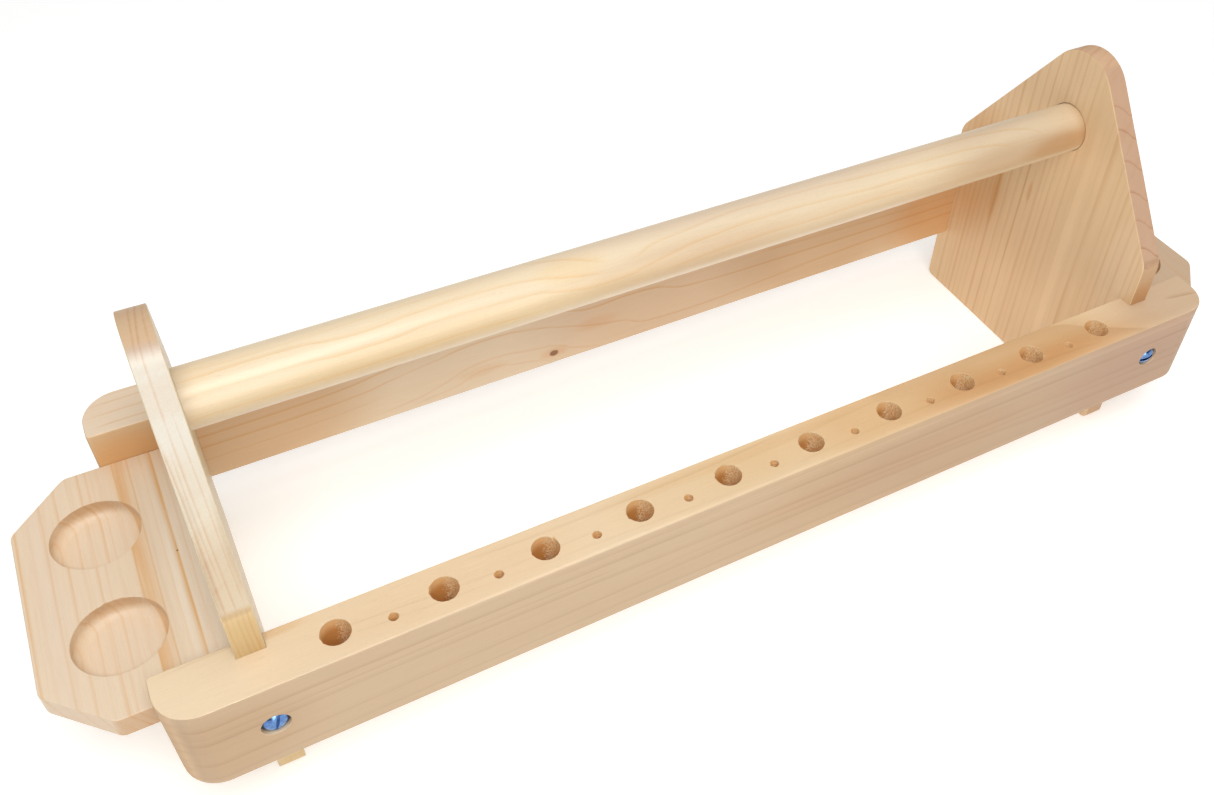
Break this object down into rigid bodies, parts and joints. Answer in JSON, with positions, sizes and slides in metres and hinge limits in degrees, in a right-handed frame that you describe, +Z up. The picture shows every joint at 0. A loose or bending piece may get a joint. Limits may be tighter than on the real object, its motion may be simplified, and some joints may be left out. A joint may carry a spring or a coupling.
{
  "type": "tool storage caddy",
  "caption": "Wooden caddy with drilled side rails for hand tools, gable ends joined by a round carrying handle, and an end tray with round recesses at each end.",
  "frame": {"origin": "on the ground under the middle of the caddy: the middle of the bottom of the bounding box", "axes": "+X along the rails to the right end, +Y from the front rail to the back rail, +Z up"},
  "size_m": [0.459, 0.1388, 0.1469],
  "materials": {
    "rail_pine": "planed pine, clear satin",
    "panel_pine": "planed pine, clear satin",
    "tray_pine": "sanded pine, clear satin",
    "handle_pine": "turned pine, clear satin",
    "pin_beech": "raw beech",
    "blue_zinc": "bright blue zinc plating"
  },
  "bodies": {
    "root": {"front_rail": "rail_pine", "back_rail": "rail_pine", "left_end_panel": "panel_pine", "right_end_panel": "panel_pine", "left_tray": "tray_pine", "right_tray": "tray_pine", "handle_dowel": "handle_pine", "front_left_rail_screw": "blue_zinc", "front_right_rail_screw": "blue_zinc", "back_left_rail_screw": "blue_zinc", "back_right_rail_screw": "blue_zinc", "left_handle_screw": "blue_zinc", "right_handle_screw": "blue_zinc", "left_tray_front_inner_pin": "pin_beech", "left_tray_front_outer_pin": "pin_beech", "left_tray_back_inner_pin": "pin_beech", "left_tray_back_outer_pin": "pin_beech", "right_tray_front_inner_pin": "pin_beech", "right_tray_front_outer_pin": "pin_beech", "right_tray_back_inner_pin": "pin_beech", "right_tray_back_outer_pin": "pin_beech"}
  },
  "joints": []
}
